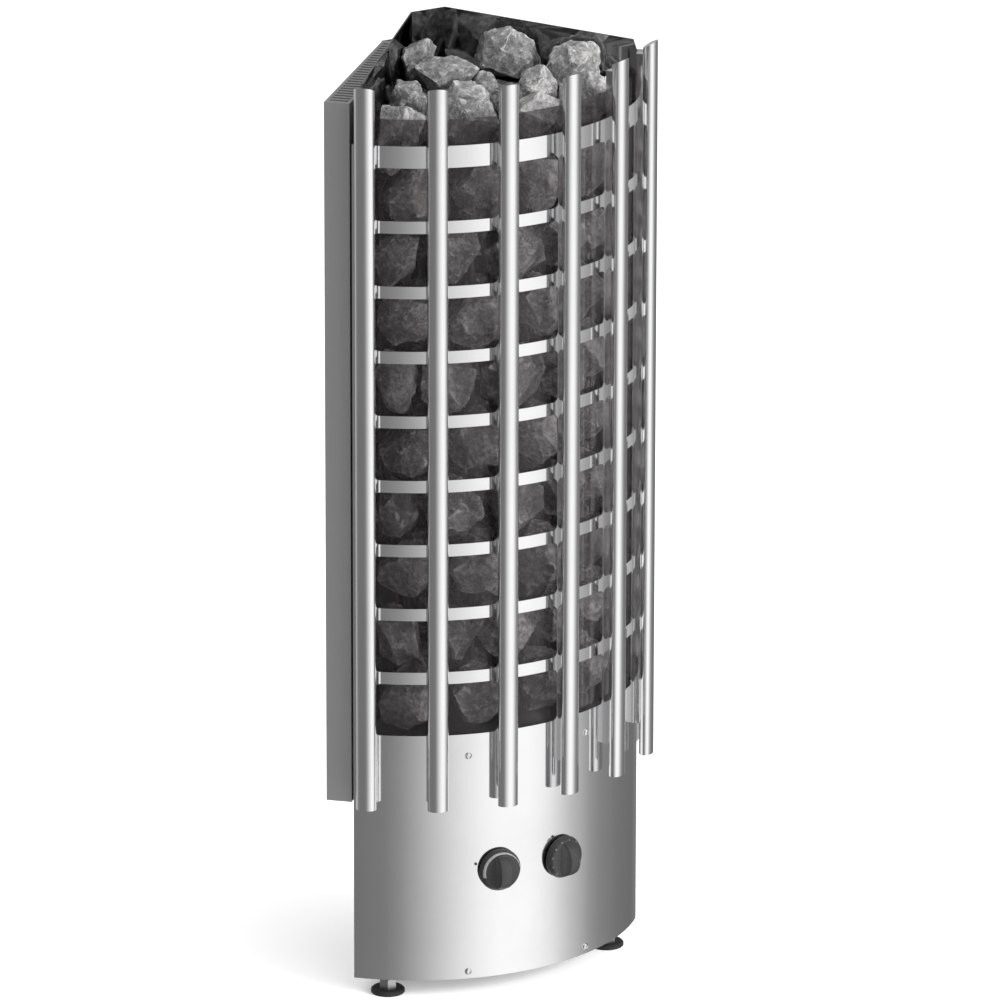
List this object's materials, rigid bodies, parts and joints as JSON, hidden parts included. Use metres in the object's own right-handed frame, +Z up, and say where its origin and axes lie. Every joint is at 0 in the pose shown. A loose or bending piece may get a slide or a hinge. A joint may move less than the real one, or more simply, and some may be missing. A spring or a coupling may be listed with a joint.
{
  "type": "corner tower sauna heater",
  "caption": "Quarter-round electric sauna heater: polished bars over smoked glass and a column of stones, dark corner liner, rear air ducts and two front dials.",
  "frame": {"origin": "middle of the underside of the rear foot's pad, on the floor", "axes": "+Z up, -Y out of the middle of the front, +X to the right of a viewer who faces the front"},
  "size_m": [0.3884, 0.2905, 1.025],
  "materials": {
    "polished_steel": "mirror-polished stainless sheet and tube",
    "duct_paint": "matt mid-grey paint",
    "plain_steel": "galvanised or mill-finish sheet",
    "dark_liner": "dark heat-stained sheet, glossy",
    "smoked_glass": "smoked heat-resistant glass",
    "knob_plastic": "black",
    "black_rubber": "black",
    "element_steel": "heat-tinted tube",
    "brass": "plain",
    "copper_probe": "plain",
    "ceramic": "white steatite",
    "control_plastic": "cream moulding",
    "limiter_plastic": "black moulding",
    "button_red": "red",
    "stone": "split grey olivine-like rock"
  },
  "bodies": {
    "heater": {"front_panel": "polished_steel", "front_bar_1": "polished_steel", "front_bar_2": "polished_steel", "front_bar_3": "polished_steel", "front_bar_4": "polished_steel", "front_bar_5": "polished_steel", "front_bar_6": "polished_steel", "bar_spacers": "polished_steel", "casing_screws": "polished_steel", "casing_side_left": "duct_paint", "casing_side_right": "duct_paint", "casing_back": "duct_paint", "duct_left": "duct_paint", "duct_right": "duct_paint", "vent_left": "duct_paint", "vent_right": "duct_paint", "duct_back_cover": "duct_paint", "base_plate": "plain_steel", "cage_floor": "plain_steel", "duct_spacers": "plain_steel", "control_bracket": "plain_steel", "sensor_clips": "plain_steel", "foot_nuts": "plain_steel", "liner": "dark_liner", "smoked_glass": "smoked_glass", "index_marks": "knob_plastic", "bar_plugs": "knob_plastic", "element_left": "element_steel", "element_centre": "element_steel", "element_right": "element_steel", "element_bushings": "brass", "terminal_screws": "brass", "earth_stud": "brass", "sensor_tubes": "copper_probe", "terminal_block": "ceramic", "timer_body": "control_plastic", "thermostat_body": "control_plastic", "limiter_body": "limiter_plastic", "cable_gland": "limiter_plastic", "gland_nut": "limiter_plastic", "stones_1": "stone", "stones_2": "stone", "stones_3": "stone", "stones_4": "stone", "stones_5": "stone", "stones_top": "stone"},
    "timer_dial": {"timer_knob": "knob_plastic", "timer_shaft": "plain_steel"},
    "thermostat_dial": {"thermostat_knob": "knob_plastic", "thermostat_shaft": "plain_steel"},
    "reset_pin": {"reset_button": "button_red"},
    "left_foot": {"foot_pad_left": "black_rubber", "foot_stem_left": "plain_steel"},
    "right_foot": {"foot_pad_right": "black_rubber", "foot_stem_right": "plain_steel"},
    "rear_foot": {"foot_pad_rear": "black_rubber", "foot_stem_rear": "plain_steel"}
  },
  "joints": [
    {"name": "timer_turn", "type": "hinge", "parent": "heater", "child": "timer_dial", "pos_m": [-0.03978, -0.17569, 0.142], "axis": [0.165, 0.9863, 0], "range_deg": [0, 330]},
    {"name": "thermostat_turn", "type": "hinge", "parent": "heater", "child": "thermostat_dial", "pos_m": [0.03729, -0.1761, 0.142], "axis": [-0.1547, 0.988, 0], "range_deg": [0, 270]},
    {"name": "reset_press", "type": "slide", "parent": "heater", "child": "reset_pin", "axis": [0, 0, 1], "range_m": [0, 0.0025], "stiffness_N_per_m": 1500, "springref_m": -0.0005},
    {"name": "left_foot_screw", "type": "slide", "parent": "heater", "child": "left_foot", "axis": [0, 0, -1], "range_m": [-0.006, 0.012]},
    {"name": "right_foot_screw", "type": "slide", "parent": "heater", "child": "right_foot", "axis": [0, 0, -1], "range_m": [-0.006, 0.012]},
    {"name": "rear_foot_screw", "type": "slide", "parent": "heater", "child": "rear_foot", "axis": [0, 0, -1], "range_m": [-0.006, 0.012]}
  ]
}
